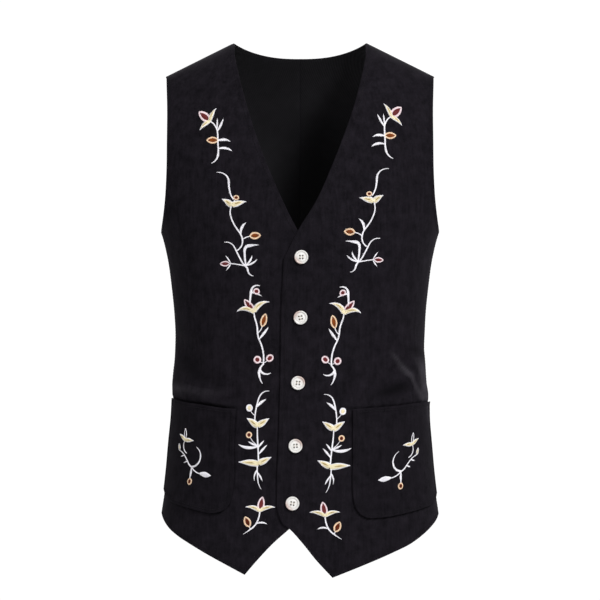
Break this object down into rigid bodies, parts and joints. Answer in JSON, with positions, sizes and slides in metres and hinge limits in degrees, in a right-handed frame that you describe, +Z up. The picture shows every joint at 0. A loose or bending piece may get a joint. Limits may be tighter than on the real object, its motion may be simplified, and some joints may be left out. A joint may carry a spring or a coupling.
{
  "type": "leather vest",
  "caption": "Black suede waistcoat in its worn shape, with a deep V neck, pointed fronts, patch pockets and a buttoned front.",
  "frame": {"origin": "midway between the two shoulder seams, in the plane of the seams, at the height where the shoulders carry the garment", "axes": "+Z up the body, -Y out of the buttoned front, +X to the wearer's left"},
  "size_m": [0.345, 0.2324, 0.6607],
  "materials": {
    "suede": "black brushed suede, matte with a short nap",
    "button": "mottled ivory, satin polish"
  },
  "bodies": {
    "root": {"front_left": "suede", "front_right": "suede", "back_left": "suede", "back_right": "suede", "pocket_left": "suede", "pocket_right": "suede", "button_1": "button", "button_2": "button", "button_3": "button", "button_4": "button", "button_5": "button"}
  },
  "joints": []
}
